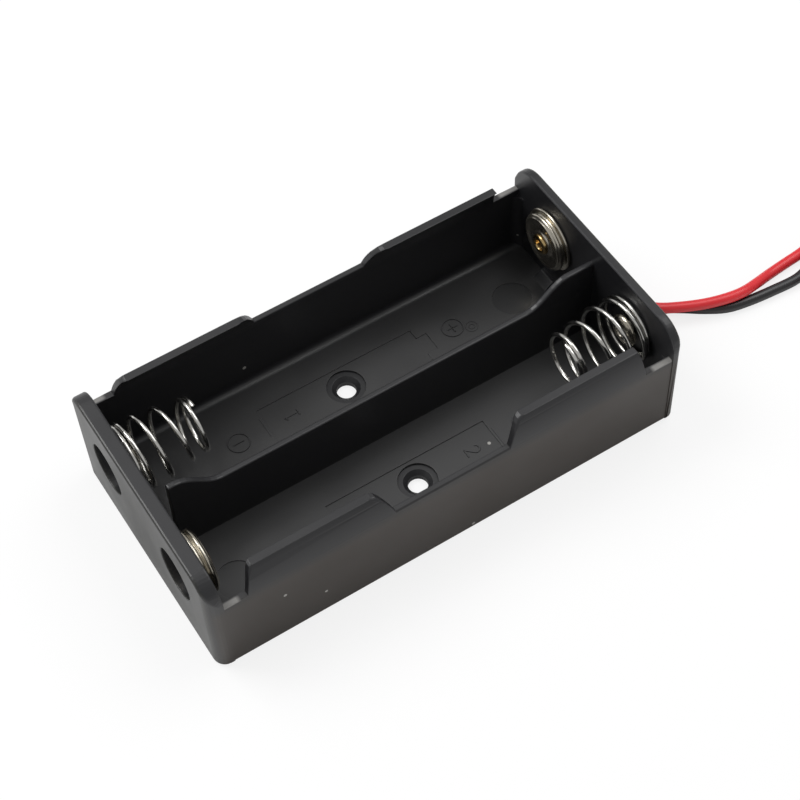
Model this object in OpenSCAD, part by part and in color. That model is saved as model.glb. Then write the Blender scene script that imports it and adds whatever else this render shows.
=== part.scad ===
// Open tray that holds two cylindrical cells in series, with spring and button
// contacts riveted to its end walls and a red and a black lead at one end.
// Millimetres. X runs along the cells, +X is the lead end, Z is up, and the
// tray stands on Z = 0 with its footprint centred on the origin.

/* [Tray] */
// Length of the tray over both end walls
body_l = 77; // [70:0.5:84]
// Width of the end walls
body_w = 40; // [40:0.5:44]
// Height of the end walls
body_h = 20; // [19.5:0.5:24]
// Height of the cell axis, the contacts and the end wall pockets
axis_z = 11.8; // [11:0.1:12.4]
// Thickness of the floor
floor_t = 2.1; // [1.6:0.1:3]
// Thickness of the side walls
side_wall_t = 1; // [0.8:0.1:1.4]
// Height of the side walls between the cell guides
side_wall_h = 15; // [13.5:0.1:15.6]
// Height of the side walls beyond the guides, next to the end walls
side_wall_end_h = 14.6; // [13.5:0.1:15.6]
// Step from the side walls out to the edge of the end walls
side_step = 0.1; // [0.05:0.05:0.4]
// Thickness of the end wall that carries the series link
link_wall_t = 2.4; // [2:0.1:3.2]
// Thickness of the end wall that carries the leads
lead_wall_t = 1.5; // [1.4:0.1:2]
// Corner radius at the top of the end walls
top_corner_r = 4.4; // [3:0.2:7]
// Corner radius at the bottom of the end walls
bottom_corner_r = 0.4; // [0.3:0.1:3]
// Rounding under the long bottom edges
bottom_edge_r = 0.4; // [0.3:0.1:1.4]
// Upright corner radius, in plan, of the end wall that carries the series link
link_corner_r = 1.9; // [1:0.1:2]
// Upright corner radius, in plan, of the end wall that carries the leads
lead_corner_r = 1; // [0.6:0.1:1.2]
// Fillet between the floor and the side walls
floor_fillet_r = 1.2; // [0.6:0.1:1.6]
// Fillet in the upright inner corners of the tray
corner_fillet_r = 1.6; // [0.8:0.1:2.2]

/* [Cell guides] */
// Height of the cell guides that curl over the cells
guide_h = 18.7; // [17:0.1:19.2]
// Radius of the inward curl of the guides
guide_r = 9.2; // [8:0.1:12]
// Height at which the curl starts
guide_curl_z = 13.5; // [12:0.1:13.9]
// Distance from the tray middle to the inner end of each guide
guide_inner_x = 9.3; // [7:0.1:12]
// Distance from the tray middle to the outer end of each guide
guide_outer_x = 32.4; // [29:0.1:32.6]
// Length of the slope at the inner end of a guide
guide_ramp = 2.8; // [1.5:0.1:4]
// Length of the slope at the outer end of the guides by the link wall
guide_link_ramp = 1.8; // [1:0.1:3.5]
// Length of the slope at the outer end of the guides by the lead wall
guide_lead_ramp = 0.7; // [0.4:0.1:3]

/* [Divider] */
// Thickness of the divider at its top
divider_t = 1; // [0.8:0.1:1.4]
// Thickness of the divider where it meets the floor
divider_foot_t = 1.8; // [1.5:0.1:2.4]
// Height of the divider along its middle
divider_h = 12.5; // [10:0.1:14]
// Height of the divider at its two ends
divider_end_h = 16.4; // [14.5:0.1:18]
// Gap between the divider and the link wall, where the link strip crosses
link_gap = 2.3; // [1.5:0.1:3]
// Length of the slope at each end of the divider
divider_ramp = 7; // [4:0.25:10]
// Level top beyond the slope at the link end
divider_link_flat = 1.2; // [0.5:0.1:3]
// Level top beyond the slope at the lead end
divider_lead_flat = 4.5; // [2:0.1:6]

/* [Floor details] */
// Diameter of the screw holes in the floor
screw_d = 3; // [2.5:0.1:3.4]
// Diameter of the screw head recess
head_d = 6; // [5:0.1:7]
// Depth of the screw head recess
head_depth = 0.5; // [0.3:0.1:0.8]
// Diameter of the countersink below the recess
sink_d = 4.5; // [3.8:0.1:4.9]
// Depth of the countersink below the recess
sink_depth = 0.6; // [0.3:0.1:0.7]
// Length of the cell outline sunk in the floor
outline_l = 27; // [20:0.5:34]
// Width of the cell outline
outline_w = 7; // [6.2:0.2:9]
// Length of the nub at the positive end of the outline
nub_l = 1.8; // [1:0.1:3]
// Width of the nub
nub_w = 3.4; // [2:0.1:5]
// Depth of the outline and of the round marks
mark_depth = 0.15; // [0.1:0.05:0.3]
// Diameter of the round mark before each button contact
round_mark_d = 6.2; // [4:0.1:7]
// Distance of the round mark from the middle of the tray
round_mark_x = 30; // [27:0.5:31]
// Length of the sloping seat under each button contact
seat_l = 1.4; // [0.8:0.1:1.6]
// Width of the sloping seat
seat_w = 3.3; // [2:0.1:6]
// Height of the sloping seat
seat_h = 1.1; // [0.6:0.1:3]

/* [End wall pockets] */
// Diameter of the rivet pockets in the outer faces of the end walls
pocket_d = 8; // [7:0.1:9]
// Thickness left in the link wall behind its pockets
link_web_t = 0.8; // [0.6:0.1:1.2]
// Thickness left in the lead wall behind its pockets
lead_web_t = 0.6; // [0.5:0.1:0.8]

/* [Contacts] */
// Wire diameter of the springs
wire_d = 0.7; // [0.5:0.05:0.8]
// Outside diameter of a spring at the cell end
spring_tip_d = 8.9; // [7:0.1:9.5]
// Outside diameter of a spring at the wall
spring_base_d = 10.9; // [10:0.1:12.4]
// Free length of a spring
spring_l = 12; // [10:0.1:14]
// Outside diameter of a button contact
button_d = 10.4; // [9:0.1:12]
// Outside diameter of the front rim of a button contact
button_rim_d = 9.5; // [8:0.1:10]
// Height of a button contact
button_h = 1.9; // [1.5:0.1:2.4]
// Sheet thickness of a button contact
button_sheet_t = 0.35; // [0.25:0.05:0.45]
// Diameter of the eyelet shanks
eyelet_d = 2.4; // [2:0.1:2.8]
// Bore of the eyelets
eyelet_bore_d = 1.8; // [1.2:0.1:1.8]
// Diameter of the eyelet head that clamps a spring
spring_head_d = 5.2; // [4.8:0.1:6]
// Diameter of the eyelet head on a button contact
button_head_d = 3.4; // [3.2:0.1:4]
// Diameter of the rolled eyelet tails
tail_d = 4; // [3.4:0.1:4.4]
// Thickness of the rolled eyelet tails
tail_t = 0.25; // [0.2:0.05:0.3]
// Thickness of the link strip
link_t = 0.3; // [0.2:0.05:0.4]
// Width of the link strip
link_w = 6; // [5.2:0.1:7]
// Thickness of the solder tags
tag_t = 0.2; // [0.15:0.05:0.25]
// Diameter of the solder tags
tag_d = 6; // [5:0.1:6.6]
// Clearance between the contact pieces and their holes or seats
fit_gap = 0.05; // [0.03:0.01:0.1]

/* [Leads] */
// Outside diameter of the leads
lead_d = 1.7; // [1.4:0.1:1.8]
// Diameter of the tinned wire ends
core_d = 0.9; // [0.6:0.1:1.2]
// Length of the tinned wire ends
core_l = 5; // [3:0.5:8]
// Radius of the coiled leads to the middle of the turns
coil_r = 9.35; // [9:0.05:10]
// Width of the tie round the coils
tie_w = 2.5; // [1.5:0.5:4]
// Thickness of the tie
tie_t = 0.35; // [0.2:0.05:0.5]

/* [Hidden] */
$fn = 48;

// Planes across the tray
end_x = body_l / 2;
link_face_x = -end_x + link_wall_t;
lead_face_x = end_x - lead_wall_t;
link_seat_x = link_face_x + link_t;
bay_y = body_w / 4;
cell_pitch = 2 * bay_y;
side_y = body_w / 2 - side_step;
inner_y = side_y - side_wall_t;
// How far the features of the moulding reach into each other
embed = 0.3;

// ---------- helpers ----------
function arc(c, r, a0, a1, n) =
    [for (i = [0:n]) let (a = a0 + (a1 - a0) * i / n) c + r * [cos(a), sin(a)]];
function clamp01(t) = min(1, max(0, t));
function steps(a, b, n) = [for (i = [0:n]) a + (b - a) * i / n];

// Closed solid through a row of outlines, all with the same number of points
module loft(rings) {
    m = len(rings[0]);
    last = len(rings) - 1;
    polyhedron(
        points = [for (ring = rings) for (p = ring) p],
        faces = concat(
            [[for (j = [0:m - 1]) j]],
            [[for (j = [m - 1:-1:0]) last * m + j]],
            [for (i = [0:last - 1]) for (j = [0:m - 1]) let (k = (j + 1) % m)
                [i * m + j, (i + 1) * m + j, (i + 1) * m + k]],
            [for (i = [0:last - 1]) for (j = [0:m - 1]) let (k = (j + 1) % m)
                [i * m + j, (i + 1) * m + k, i * m + k]]
        )
    );
}

// Turns a shape drawn along +Z to point along +X or -X, at the axis of a bay
module on_axis(x, side, towards = 1) {
    translate([x, side * bay_y, axis_z])
        rotate([0, 0, towards > 0 ? 180 : 0]) rotate([0, -90, 0]) children();
}

// Turns an outline drawn across the tray and extrudes it along X from x0 to x1
module along_x(x0, x1) {
    translate([x0, 0, 0]) rotate([90, 0, 90]) linear_extrude(x1 - x0) children();
}
// Extrudes an outline in the X-Z plane across the whole tray
module across_tray() {
    translate([0, body_w, 0]) rotate([90, 0, 0]) linear_extrude(2 * body_w) children();
}

// ---------- tray ----------
// Share of the full guide height at x, for a guide from a to b with end slopes
function guide_share(x, a, a_ramp, b, b_ramp) =
    sin(90 * clamp01((x - a) / a_ramp)) * sin(90 * clamp01((b - x) / b_ramp));
// Height of the side walls at x: a guide rises from one level on the side of
// the tray middle and from another on the side of the end wall
function wall_top(x) =
    let (
        guide_mid_x = (guide_inner_x + guide_outer_x) / 2,
        level = abs(x) < guide_mid_x ? side_wall_h : side_wall_end_h,
        share = max(
            guide_share(x, -guide_outer_x, guide_link_ramp, -guide_inner_x, guide_ramp),
            guide_share(x, guide_inner_x, guide_ramp, guide_outer_x, guide_lead_ramp)
        )
    )
    level + (guide_h - level) * share;
// Places along X at which the wall's height changes
wall_steps = concat(
    [-end_x],
    steps(-guide_outer_x, -guide_outer_x + guide_link_ramp, 5),
    steps(-guide_inner_x - guide_ramp, -guide_inner_x, 5),
    steps(guide_inner_x, guide_inner_x + guide_ramp, 5),
    steps(guide_outer_x - guide_lead_ramp, guide_outer_x, 5),
    [end_x]
);

// Side wall at +Y in section: upright, then curling in at guide_curl_z
module wall_section() {
    curl = [side_y - guide_r, guide_curl_z];
    reach = 2 * guide_r;
    translate([inner_y, bottom_edge_r]) square([side_wall_t, guide_curl_z - bottom_edge_r]);
    intersection() {
        difference() {
            translate(curl) circle(guide_r, $fn = 160);
            translate(curl) circle(guide_r - side_wall_t, $fn = 160);
        }
        translate(curl) square([reach, guide_h - guide_curl_z]);
    }
    translate([side_y - bottom_edge_r, bottom_edge_r]) circle(bottom_edge_r);
    translate([inner_y - floor_fillet_r, floor_t - embed]) difference() {
        square(floor_fillet_r + embed);
        translate([0, floor_fillet_r + embed]) circle(floor_fillet_r);
    }
}
module tray_section() {
    flat_y = side_y - bottom_edge_r;
    translate([-flat_y, 0]) square([2 * flat_y, floor_t]);
    translate([-side_y, bottom_edge_r]) square([2 * side_y, floor_t - bottom_edge_r]);
    wall_section();
    mirror([1, 0]) wall_section();
}
module tray() {
    difference() {
        along_x(link_face_x - embed, lead_face_x + embed) tray_section();
        across_tray() polygon(concat(
            [for (x = wall_steps) [x, wall_top(x)]],
            [[end_x, 2 * body_h], [-end_x, 2 * body_h]]
        ));
    }
}

// Outline of the end walls, with its two sizes of round corner
module end_outline() {
    w = body_w / 2;
    low_r = bottom_corner_r;
    top_r = top_corner_r;
    translate([-w + low_r, 0]) square([2 * (w - low_r), body_h - top_r]);
    translate([-w, low_r]) square([2 * w, body_h - top_r - low_r]);
    translate([-w + top_r, low_r]) square([2 * (w - top_r), body_h - low_r]);
    for (side = [-1, 1]) {
        translate([side * (w - low_r), low_r]) circle(low_r);
        translate([side * (w - top_r), body_h - top_r]) circle(top_r, $fn = 96);
    }
}

// Tray in plan, with the upright corners of both end walls rounded
module plan_outline() {
    w = body_w / 2;
    translate([link_corner_r - end_x, -w]) square([body_l - link_corner_r - lead_corner_r, 2 * w]);
    translate([-end_x, link_corner_r - w]) square([end_x, 2 * (w - link_corner_r)]);
    translate([0, lead_corner_r - w]) square([end_x, 2 * (w - lead_corner_r)]);
    for (side = [-1, 1]) {
        translate([link_corner_r - end_x, side * (w - link_corner_r)]) circle(link_corner_r);
        translate([end_x - lead_corner_r, side * (w - lead_corner_r)]) circle(lead_corner_r);
    }
}
module end_walls() {
    intersection() {
        union() {
            along_x(-end_x, link_face_x) end_outline();
            along_x(lead_face_x, end_x) end_outline();
        }
        translate([0, 0, -embed]) linear_extrude(body_h + 2 * embed) plan_outline();
    }
}

// ---------- divider ----------
divider_x0 = link_face_x + link_gap;
divider_x1 = lead_face_x + embed;
link_ramp_x = divider_x0 + divider_link_flat;
lead_ramp_x = lead_face_x - divider_lead_flat;
function s_curve(t) = 0.5 - 0.5 * cos(180 * clamp01(t));
function divider_top(x) = divider_h + (divider_end_h - divider_h) * max(
    s_curve((link_ramp_x + divider_ramp - x) / divider_ramp),
    s_curve((x - lead_ramp_x + divider_ramp) / divider_ramp)
);
divider_steps = concat(
    [divider_x0 - 1],
    steps(link_ramp_x, link_ramp_x + divider_ramp, 8),
    steps(lead_ramp_x - divider_ramp, lead_ramp_x, 8),
    [divider_x1 + 1]
);
module divider() {
    foot = divider_foot_t / 2;
    top = divider_t / 2;
    shoulder_z = divider_h - divider_t;
    difference() {
        along_x(divider_x0, divider_x1) polygon([
            [-foot, floor_t - embed], [foot, floor_t - embed], [foot, floor_t], [top, shoulder_z],
            [top, body_h], [-top, body_h], [-top, shoulder_z], [-foot, floor_t]
        ]);
        across_tray() polygon(concat(
            [for (x = divider_steps) [x, divider_top(x)]],
            [[divider_x1 + 1, 2 * body_h], [divider_x0 - 1, 2 * body_h]]
        ));
    }
}

// ---------- floor details ----------
module screw_hole() {
    cylinder(h = 3 * floor_t, d = screw_d, center = true);
    translate([0, 0, floor_t - head_depth]) cylinder(h = floor_t, d = head_d);
    translate([0, 0, floor_t - head_depth - sink_depth])
        cylinder(h = sink_depth + fit_gap, d1 = screw_d, d2 = sink_d);
}

// Outline of a cell with its nub towards +X, sunk in the floor
module cell_outline() {
    translate([-outline_l / 2, -outline_w / 2, floor_t - mark_depth])
        cube([outline_l, outline_w, 2 * mark_depth]);
    translate([outline_l / 2 - nub_l, -nub_w / 2, floor_t - mark_depth])
        cube([2 * nub_l, nub_w, 2 * mark_depth]);
}

module round_mark() {
    translate([round_mark_x, 0, floor_t - mark_depth])
        cylinder(h = 2 * mark_depth, d = round_mark_d);
}

// Sloping seat on the floor under a button contact, rising towards a wall at
// x = 0 and level for the last stretch before it
seat_top_l = 0.6;
module button_seat() {
    foot_x = -seat_l - seat_top_l;
    translate([0, seat_w / 2, floor_t]) rotate([90, 0, 0]) linear_extrude(seat_w)
        polygon([[foot_x, -embed], [foot_x, 0], [-seat_top_l, seat_h],
                 [embed, seat_h], [embed, -embed]]);
}

// Upright fillet in an inner corner of the tray, with its corner at the origin
module corner_fillet() {
    translate([0, 0, floor_t - embed])
        linear_extrude(side_wall_end_h - side_wall_t - floor_t)
            difference() {
                translate([-embed, -embed]) square(corner_fillet_r + embed);
                translate([corner_fillet_r, corner_fillet_r]) circle(corner_fillet_r);
            }
}

// Rivet pocket in the outer face and the hole behind it, opening towards +Z
module rivet_pocket(web_t, wall_t) {
    translate([0, 0, web_t]) cylinder(h = wall_t, d = pocket_d);
    cylinder(h = 4 * wall_t, d = eyelet_d + 2 * fit_gap, center = true);
}

module holder_body() {
    color("#1d1d1f") difference() {
        union() {
            tray();
            end_walls();
            divider();
            translate([lead_face_x, bay_y, 0]) button_seat();
            translate([link_face_x, -bay_y, 0]) mirror([1, 0, 0]) button_seat();
            for (side = [-1, 1]) {
                translate([link_face_x, side * inner_y, 0])
                    mirror([0, side > 0 ? 1 : 0, 0]) corner_fillet();
                translate([lead_face_x, side * inner_y, 0])
                    mirror([0, side > 0 ? 1 : 0, 0]) mirror([1, 0, 0]) corner_fillet();
            }
        }
        for (side = [-1, 1]) {
            translate([0, side * bay_y, 0]) {
                screw_hole();
                mirror([side < 0 ? 1 : 0, 0, 0]) {
                    cell_outline();
                    round_mark();
                }
            }
            on_axis(link_face_x, side, -1) rivet_pocket(link_web_t, link_wall_t);
            on_axis(lead_face_x, side) rivet_pocket(lead_web_t, lead_wall_t);
        }
    }
}

// ---------- springs ----------
// Turns from the eyelet outwards: a tail that winds out to the base, one closed
// turn, the open turns, which narrow over the last of them, and the closed
// turns that meet the cell. The pitch of the open turns grows by widening.
tail_turns = 0.8;
base_turns = 1;
open_turns = 2.9;
tip_turns = 1.2;
cone_turns = 1.6;
widening = 0.35;
rings_per_turn = 20;
wire_sides = 8;
closed_pitch = wire_d + fit_gap;
wire_seat = wire_d / 2 + fit_gap;
tail_r = eyelet_d / 2 + fit_gap + wire_d / 2 + 0.1;
base_r = (spring_base_d - wire_d) / 2;
tip_r = (spring_tip_d - wire_d) / 2;
open_end = tail_turns + base_turns + open_turns;
all_turns = open_end + tip_turns;
open_rise = spring_l - wire_d - fit_gap - closed_pitch * (base_turns + tip_turns);

function widened(share) = share - widening * share * (1 - share);
// Height of the wire above the seat and its radius, after t turns
function wire_z(t) = wire_seat
    + closed_pitch * base_turns * clamp01((t - tail_turns) / base_turns)
    + open_rise * widened(clamp01((t - tail_turns - base_turns) / open_turns))
    + closed_pitch * tip_turns * clamp01((t - open_end) / tip_turns);
function wire_r(t) = t < tail_turns
    ? tail_r + (base_r - tail_r) * t / tail_turns
    : base_r + (tip_r - base_r) * clamp01((t - open_end + cone_turns) / cone_turns);
function wire_ring(t) =
    let (a = 360 * (t - all_turns), r = wire_r(t), z = wire_z(t))
    [for (j = [0:wire_sides - 1])
        let (b = 360 * (j + 0.5) / wire_sides, s = r + wire_d / 2 * cos(b))
        [s * cos(a), s * sin(a), z + wire_d / 2 * sin(b)]];

module spring() {
    count = ceil(all_turns * rings_per_turn);
    color("#c9c9c4") loft([for (i = [0:count]) wire_ring(all_turns * i / count)]);
}
module near_spring() { on_axis(lead_face_x, -1, -1) spring(); }
module far_spring() { on_axis(link_seat_x, 1) spring(); }

// ---------- button contacts ----------
// Pressed sheet, drawn as half of its section: a folded flange at the wall, a
// waist, the front rim and a dished face with a raised boss for the eyelet
button_waist_r = button_rim_d / 2 - 0.45;
button_boss_r = button_head_d / 2 + 0.3;
flange_fold = 0.6;
dish_depth = 0.4;
module button() {
    outer_r = button_d / 2;
    rim_r = button_rim_d / 2;
    hole_r = eyelet_d / 2 + fit_gap;
    face = [
        [rim_r - 0.5, button_h], [rim_r - 1.1, button_h - dish_depth / 2],
        [button_boss_r + 0.5, button_h - dish_depth], [button_boss_r, button_h - 0.1],
        [hole_r, button_h]
    ];
    color("#b9b4a6") rotate_extrude() polygon(concat(
        [[button_waist_r - button_sheet_t, 0]],
        arc([outer_r - flange_fold / 2, flange_fold / 2], flange_fold / 2, -90, 90, 4),
        [[button_waist_r, 0.85], [rim_r, 1.25], [rim_r - 0.1, button_h - 0.25]],
        face,
        [for (i = [len(face) - 1:-1:1]) face[i] - [0, button_sheet_t]],
        [[rim_r - button_sheet_t - 0.4, button_h - button_sheet_t],
         [rim_r - button_sheet_t, 1.3], [button_waist_r - button_sheet_t, 0.9]]
    ));
}
module near_button() { on_axis(link_seat_x, -1) button(); }
module far_button() { on_axis(lead_face_x, 1, -1) button(); }

// ---------- eyelets ----------
// Eyelet with the underside of its domed head at z = 0 and its tail rolled
// over against a face that is grip below the head
module eyelet(head_r, head_h, grip) {
    bore_r = eyelet_bore_d / 2;
    lip_r = bore_r + 0.15;
    edge_h = 0.12;
    rotate_extrude() polygon(concat(
        [[bore_r, -grip - tail_t], [tail_d / 2 - 0.1, -grip - tail_t]],
        [[tail_d / 2, -grip - tail_t / 2], [tail_d / 2 - 0.1, -grip]],
        [[eyelet_d / 2, -grip], [eyelet_d / 2, 0], [head_r - 0.1, 0]],
        [for (a = [0:15:90])
            [lip_r + (head_r - lip_r) * cos(a), edge_h + (head_h - edge_h) * sin(a)]],
        [[bore_r, head_h - 0.15]]
    ));
}
spring_head_h = 1.1;
button_head_h = 0.55;
spring_head_z = wire_d + 2 * fit_gap;
module near_spring_eyelet() {
    color("#b9b9b4") on_axis(lead_face_x - spring_head_z, -1, -1)
        eyelet(spring_head_d / 2, spring_head_h, spring_head_z + lead_web_t + tag_t);
}
module far_spring_eyelet() {
    color("#b9b9b4") on_axis(link_seat_x + spring_head_z, 1)
        eyelet(spring_head_d / 2, spring_head_h, spring_head_z + link_t + link_web_t);
}
module near_button_eyelet() {
    color("#a8823c") on_axis(link_seat_x + button_h, -1)
        eyelet(button_head_d / 2, button_head_h, button_h + link_t + link_web_t);
}
module far_button_eyelet() {
    color("#a8823c") on_axis(lead_face_x - button_h, 1, -1)
        eyelet(button_head_d / 2, button_head_h, button_h + lead_web_t + tag_t);
}

// ---------- series link ----------
module series_link() {
    color("#c4c2b8") difference() {
        translate([link_face_x, 0, axis_z]) rotate([0, 90, 0]) linear_extrude(link_t)
            union() {
                square([link_w, cell_pitch], center = true);
                for (side = [-1, 1]) translate([0, side * bay_y]) circle(d = link_w);
            }
        for (side = [-1, 1]) on_axis(link_face_x, side)
            cylinder(h = 4 * link_t, d = eyelet_d + 2 * fit_gap, center = true);
    }
}

// ---------- lead terminals ----------
module tag() {
    difference() {
        cylinder(h = tag_t, d = tag_d);
        cylinder(h = 4 * tag_t, d = eyelet_d + 2 * fit_gap, center = true);
    }
}
tag_x = lead_face_x + lead_web_t;
solder_x = tag_x + tag_t + tail_t;
module positive_tag() { color("#c4c2b8") on_axis(tag_x, 1) tag(); }
module negative_tag() { color("#c4c2b8") on_axis(tag_x, -1) tag(); }

// Bead of solder over a rolled tail, up to the outer face of the wall
module solder() {
    h = end_x - solder_x;
    low_r = tail_d / 2 - 0.15;
    high_r = lead_d / 2 + 0.1;
    rotate_extrude() polygon(concat(
        [[0, 0], [low_r, 0]],
        [for (a = [30:30:90]) [high_r + (low_r - high_r) * cos(a), h * sin(a)]],
        [[0, h]]
    ));
}
module positive_solder() { color("#c8c8c8") on_axis(solder_x, 1) solder(); }
module negative_solder() { color("#c8c8c8") on_axis(solder_x, -1) solder(); }

// ---------- leads ----------
// Heights of the middle of the two coils, which lie one on the other in the tie
lower_z = tie_t + fit_gap + lead_d / 2;
upper_z = lower_z + lead_d + fit_gap;
coil_c = [83.5, -17.2];
coil_pitch = lead_d + fit_gap;
outer_turn_r = coil_r + coil_pitch / 2;
inner_turn_r = coil_r - coil_pitch / 2;

// Routes of the leads from the outer face of the lead wall to the coils
black_route = [
    [end_x, -bay_y, axis_z], [39.6, -10, 11.8], [40.8, -9.8, 11.1], [41.5, -9.2, 9.7],
    [41.8, -8.2, 8], [42.1, -7, 6.1], [42.6, -5.8, 4.1], [43.5, -4.7, 2.3], [45, -3.8, 1.2],
    [47, -3.4, 0.9], [49.2, -4, 0.9], [51.4, -5.4, 0.9], [54, -7.3, 0.9], [57, -9, 0.9],
    [60.5, -9.8, 0.9], [65, -10.3, 0.9], [69.5, -10.5, 0.9], [73.2, -9.6, 1.1],
    [76.6, -8.5, lower_z]
];
red_route = [
    [end_x, bay_y, axis_z], [39.6, 10, 11.8], [40.7, 9.7, 11.1], [41.3, 8.9, 9.7],
    [41.6, 7.7, 8.2], [41.85, 6.2, 6.7], [42.2, 4.2, 5.3], [42.8, 1.8, 4.3], [43.7, -0.6, 3.6],
    [45.1, -2.7, 3.2], [47.2, -4.4, 2.8], [50.1, -6, 2.7], [53.6, -7.5, 2.6], [57, -8.5, 2.6],
    [60, -8.8, 2.4], [62.9, -8.3, 1.8], [66.3, -7.5, 1], [70, -7.1, 0.9], [73, -7, 1.2],
    [75.5, -7, 2.3], [78, -7, upper_z], [79.2, -7, upper_z]
];

function unit(v) = v / norm(v);
// Point at t between p[i] and p[i + 1] on the smooth curve through a route
function smooth_point(p, i, t) =
    let (
        a = p[max(i - 1, 0)],
        b = p[i],
        c = p[i + 1],
        d = p[min(i + 2, len(p) - 1)]
    )
    0.5 * (2 * b + (c - a) * t + (2 * a - 5 * b + 4 * c - d) * t * t
        + (3 * b - a - 3 * c + d) * t * t * t);
function smoothed(route) = concat(
    [for (i = [0:len(route) - 2]) for (t = [0, 0.5]) smooth_point(route, i, t)],
    [route[len(route) - 1]]
);
function tube_ring(path, i, d, sides) =
    let (
        dir = unit(path[min(i + 1, len(path) - 1)] - path[max(i - 1, 0)]),
        side = unit(cross(dir, [0, 0, 1])),
        up = cross(side, dir)
    )
    [for (j = [0:sides - 1]) let (b = 360 * (j + 0.5) / sides)
        path[i] + d / 2 * (cos(b) * side + sin(b) * up)];
module lead(route) {
    path = smoothed(route);
    loft([for (i = [0:len(path) - 1]) tube_ring(path, i, lead_d, 8)]);
}
module red_lead() { color("#d92a30") lead(red_route); }
module black_lead() { color("#1b1b1b") lead(black_route); }

// Outer shape of a flat coil of two turns that lie side by side
module coil(z) {
    translate([coil_c[0], coil_c[1], z - lead_d / 2]) rotate_extrude()
        translate([inner_turn_r - lead_d / 2, 0]) square([coil_pitch + lead_d, lead_d]);
}
module red_lead_coil() { color("#d92a30") coil(upper_z); }
module black_lead_coil() { color("#1b1b1b") coil(lower_z); }

// Stripped and tinned wire end inside a coil, from the inner turn at an angle
// round the coil, turned in from it by turn_in and ending at height z1
module tinned_end(angle, turn_in, z0, z1) {
    start_r = inner_turn_r - lead_d / 2;
    drop = z0 - z1;
    translate([coil_c[0] + start_r * cos(angle), coil_c[1] + start_r * sin(angle), z0])
        rotate([0, 0, angle - 90 - turn_in])
            rotate([0, 90 + asin(drop / core_l), 0])
                cylinder(h = core_l, d = core_d);
}
red_end_angle = 294;
red_turn_in = 60;
black_end_angle = 279;
black_turn_in = 30;
end_z = core_d / 2 + 0.1;
module red_tinned_end() {
    color("#c8c8c8") tinned_end(red_end_angle, red_turn_in, upper_z, end_z);
}
module black_tinned_end() {
    color("#c8c8c8") tinned_end(black_end_angle, black_turn_in, lower_z, end_z);
}

// Tie: a strap round both coils with its locking head on top. Its inner face is
// flat, so it stays clear of the round inside of the coils.
tie_angle = 30;
tie_head_w = 2.6;
tie_head_h = 1.6;
module lead_tie() {
    inner_r = inner_turn_r - lead_d / 2;
    inner_gap = fit_gap + tie_w * tie_w / (8 * inner_r);
    w = coil_pitch + lead_d + inner_gap + fit_gap;
    h = upper_z + lead_d / 2 + fit_gap - tie_t;
    color("#e6e6e0") translate([coil_c[0], coil_c[1], 0]) rotate([0, 0, tie_angle])
        translate([inner_r - inner_gap, tie_w / 2, tie_t]) rotate([90, 0, 0])
            linear_extrude(tie_w) difference() {
                union() {
                    translate([-tie_t, -tie_t]) square([w + 2 * tie_t, h + 2 * tie_t]);
                    translate([(w - tie_head_w) / 2, h]) square([tie_head_w, tie_head_h]);
                }
                square([w, h]);
            }
}

holder_body();
near_spring();
far_spring();
near_button();
far_button();
near_spring_eyelet();
far_spring_eyelet();
near_button_eyelet();
far_button_eyelet();
series_link();
positive_tag();
negative_tag();
positive_solder();
negative_solder();
red_lead();
black_lead();
red_lead_coil();
black_lead_coil();
red_tinned_end();
black_tinned_end();
lead_tie();
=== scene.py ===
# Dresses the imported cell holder: an open black tray for two cylindrical cells,
# with riveted spring and button contacts and a red and a black lead.
# Metres throughout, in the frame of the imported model.
import math

import bmesh
import bpy
from mathutils import Matrix, Vector, noise
from mathutils.geometry import intersect_point_line


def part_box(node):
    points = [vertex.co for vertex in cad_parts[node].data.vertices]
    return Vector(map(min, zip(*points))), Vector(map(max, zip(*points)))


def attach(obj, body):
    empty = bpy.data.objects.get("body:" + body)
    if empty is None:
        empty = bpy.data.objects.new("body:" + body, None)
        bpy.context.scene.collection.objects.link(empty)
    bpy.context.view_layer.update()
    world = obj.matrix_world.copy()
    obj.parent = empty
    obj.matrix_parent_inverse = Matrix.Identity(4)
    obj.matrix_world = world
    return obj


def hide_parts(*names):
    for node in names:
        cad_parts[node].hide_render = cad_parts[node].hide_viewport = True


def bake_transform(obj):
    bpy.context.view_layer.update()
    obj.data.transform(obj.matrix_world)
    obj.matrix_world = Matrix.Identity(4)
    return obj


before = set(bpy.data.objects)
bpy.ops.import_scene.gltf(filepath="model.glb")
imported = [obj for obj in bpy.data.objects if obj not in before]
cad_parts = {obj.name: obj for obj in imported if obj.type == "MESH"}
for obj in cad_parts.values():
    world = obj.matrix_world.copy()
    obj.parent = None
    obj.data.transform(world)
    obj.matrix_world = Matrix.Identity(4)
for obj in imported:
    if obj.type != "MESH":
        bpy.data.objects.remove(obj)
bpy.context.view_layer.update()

MM = 0.001
scene = bpy.context.scene

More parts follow.
